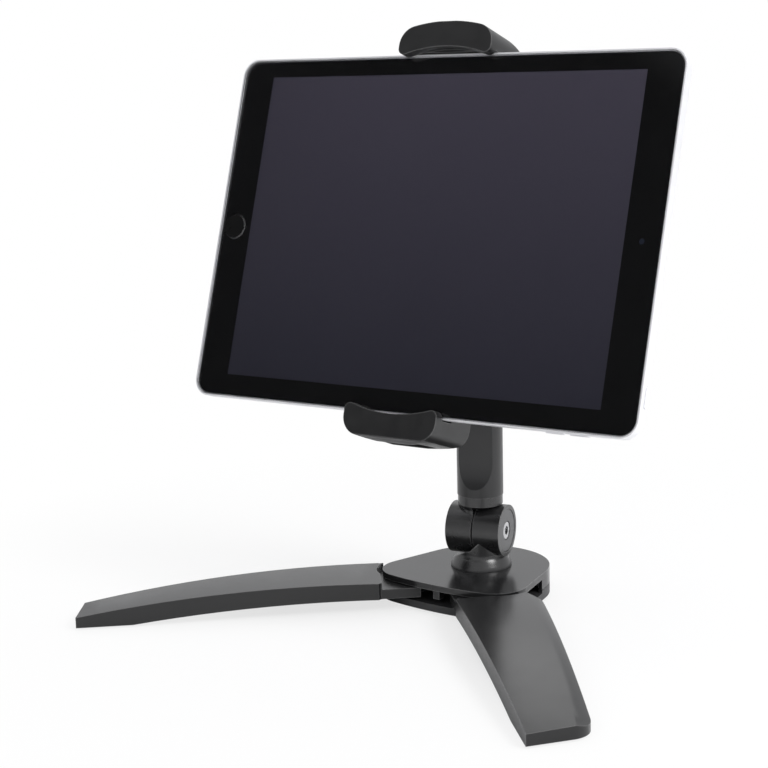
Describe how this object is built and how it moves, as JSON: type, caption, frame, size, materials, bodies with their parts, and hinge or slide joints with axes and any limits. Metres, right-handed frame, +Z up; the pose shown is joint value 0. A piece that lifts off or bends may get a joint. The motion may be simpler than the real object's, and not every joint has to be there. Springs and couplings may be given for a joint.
{
  "type": "tablet desk stand teleprompter",
  "caption": "Folding desk stand whose friction-hinged arm and self-centring spring clamp hold a tablet as a script screen.",
  "frame": {"origin": "on the ground, under the swivel axis of the arm and in the middle of the two legs", "axes": "+Z up, the screen faces -Y and +X is to the viewer's right"},
  "size_m": [0.2822, 0.1894, 0.2805],
  "materials": {
    "cover": "satin black moulding with a soft sheen",
    "bottom_plate": "fine matte black",
    "legs": "satin black powder coat",
    "hinges": "satin black coated metal",
    "arm": "satin black anodised",
    "clamp_plastic": "fine matte black",
    "jaws": "satin black with a soft sheen",
    "rubber": "matte",
    "steel": "bright zinc plated",
    "cap_grey": "satin grey",
    "friction": "matte lining",
    "acetal": "matte natural acetal",
    "bronze": "sintered bronze",
    "tablet_shell": "fine bead-blasted, bright cut edge",
    "tablet_glass": "polished clear glass",
    "bezel": "black print behind glass",
    "display": "dark display, switched off",
    "button_glass": "gloss black",
    "battery": "matte foil",
    "board": "solder mask",
    "lens": "coated lens"
  },
  "bodies": {
    "base": {"base_cover": "cover", "base_bottom_plate": "bottom_plate", "base_feet": "rubber", "base_screws": "steel", "leg_pivot_pins": "steel", "leg_friction_washers": "acetal", "swivel_ring": "friction", "swivel_wave_washer": "steel"},
    "leg_left": {"leg_left": "legs", "leg_left_bushing": "bronze", "leg_left_foot": "rubber"},
    "leg_right": {"leg_right": "legs", "leg_right_bushing": "bronze", "leg_right_foot": "rubber"},
    "collar": {"swivel_collar": "hinges", "swivel_retainer": "steel", "swivel_screw": "steel", "lower_hinge_bolt": "steel", "lower_hinge_nut": "steel", "lower_hinge_spring_washers": "steel", "lower_hinge_cap_right": "cap_grey"},
    "lower_neck": {"lower_neck": "hinges", "lower_hinge_friction_disc": "friction", "lower_hinge_cap_left": "hinges"},
    "arm": {"arm_tube": "arm", "lower_twist_ring": "steel", "upper_twist_ring": "steel"},
    "upper_neck": {"upper_neck": "hinges", "upper_hinge_friction_disc": "friction", "upper_hinge_cap_left": "hinges"},
    "head": {"head_elbow": "hinges", "upper_hinge_bolt": "steel", "upper_hinge_nut": "steel", "upper_hinge_spring_washers": "steel", "upper_hinge_cap_right": "cap_grey", "clamp_retainer": "steel", "clamp_pivot_screw": "steel"},
    "clamp": {"clamp_rear_shell": "clamp_plastic", "clamp_front_cover": "clamp_plastic", "clamp_screws": "steel", "clamp_back_pads": "rubber", "clamp_springs": "steel"},
    "pinion": {"clamp_pinion": "acetal"},
    "upper_jaw": {"upper_jaw": "jaws", "upper_jaw_pad": "rubber"},
    "lower_jaw": {"lower_jaw": "jaws", "lower_jaw_pad": "rubber"},
    "tablet": {"tablet_housing": "tablet_shell", "tablet_glass": "tablet_glass", "tablet_bezel_frame": "bezel", "tablet_display": "display", "tablet_battery": "battery", "tablet_board": "board", "front_camera": "lens", "rear_camera": "lens"},
    "home_button": {"home_button": "button_glass"},
    "power_button": {"power_button": "tablet_shell"},
    "volume_up": {"volume_up_button": "tablet_shell"},
    "volume_down": {"volume_down_button": "tablet_shell"}
  },
  "joints": [
    {"name": "leg_left_fold", "type": "hinge", "parent": "base", "child": "leg_left", "pos_m": [-0.024, -0.0235, 0.0088], "axis": [0, 0, 1], "range_deg": [0, 46]},
    {"name": "leg_right_fold", "type": "hinge", "parent": "base", "child": "leg_right", "pos_m": [0.024, -0.0235, 0.0088], "axis": [0, 0, -1], "range_deg": [0, 46]},
    {"name": "base_swivel", "type": "hinge", "parent": "base", "child": "collar", "pos_m": [0, 0, 0.0116], "axis": [0, 0, 1], "continuous": true},
    {"name": "lower_tilt", "type": "hinge", "parent": "collar", "child": "lower_neck", "pos_m": [0, 0, 0.0333], "axis": [-0.9744, -0.225, 0], "range_deg": [-30, 30]},
    {"name": "arm_lower_twist", "type": "hinge", "parent": "lower_neck", "child": "arm", "pos_m": [0, 0, 0.052], "axis": [0, 0, 1], "range_deg": [-90, 90]},
    {"name": "arm_upper_twist", "type": "hinge", "parent": "arm", "child": "upper_neck", "pos_m": [0, 0, 0.148], "axis": [0, 0, 1], "range_deg": [-90, 90]},
    {"name": "head_tilt", "type": "hinge", "parent": "upper_neck", "child": "head", "pos_m": [0, 0, 0.1693], "axis": [-0.998, -0.0628, 0], "range_deg": [-18, 18]},
    {"name": "clamp_turn", "type": "hinge", "parent": "head", "child": "clamp", "pos_m": [0.00149, -0.02369, 0.17715], "axis": [0.0596, -0.9476, 0.314], "continuous": true},
    {"name": "upper_jaw_slide", "type": "slide", "parent": "clamp", "child": "upper_jaw", "axis": [-0.0267, 0.3129, 0.9494], "range_m": [0, 0.025], "deforming": ["clamp_springs"]},
    {"name": "lower_jaw_slide", "type": "slide", "parent": "clamp", "child": "lower_jaw", "axis": [0.0267, -0.3129, -0.9494], "range_m": [0, 0.025]},
    {"name": "pinion_turn", "type": "hinge", "parent": "clamp", "child": "pinion", "pos_m": [0.00203, -0.03222, 0.17998], "axis": [-0.0596, 0.9476, -0.314], "range_deg": [0, 200]},
    {"name": "tablet_slide_out", "type": "slide", "parent": "clamp", "child": "tablet", "axis": [0.9979, 0.065, 0.0066], "range_m": [0, 0.26]},
    {"name": "home_press", "type": "slide", "parent": "tablet", "child": "home_button", "axis": [-0.0596, 0.9476, -0.314], "range_m": [0, 0.0004]},
    {"name": "power_press", "type": "slide", "parent": "tablet", "child": "power_button", "axis": [-0.9979, -0.065, -0.0066], "range_m": [0, 0.0004]},
    {"name": "volume_up_press", "type": "slide", "parent": "tablet", "child": "volume_up", "axis": [-0.0267, 0.3129, 0.9494], "range_m": [0, 0.0004]},
    {"name": "volume_down_press", "type": "slide", "parent": "tablet", "child": "volume_down", "axis": [-0.0267, 0.3129, 0.9494], "range_m": [0, 0.0004]}
  ],
  "couplings": [
    {"joint": "lower_jaw_slide", "follows": "upper_jaw_slide", "ratio": 1},
    {"joint": "pinion_turn", "follows": "upper_jaw_slide", "rad_per_m": 111.11}
  ]
}
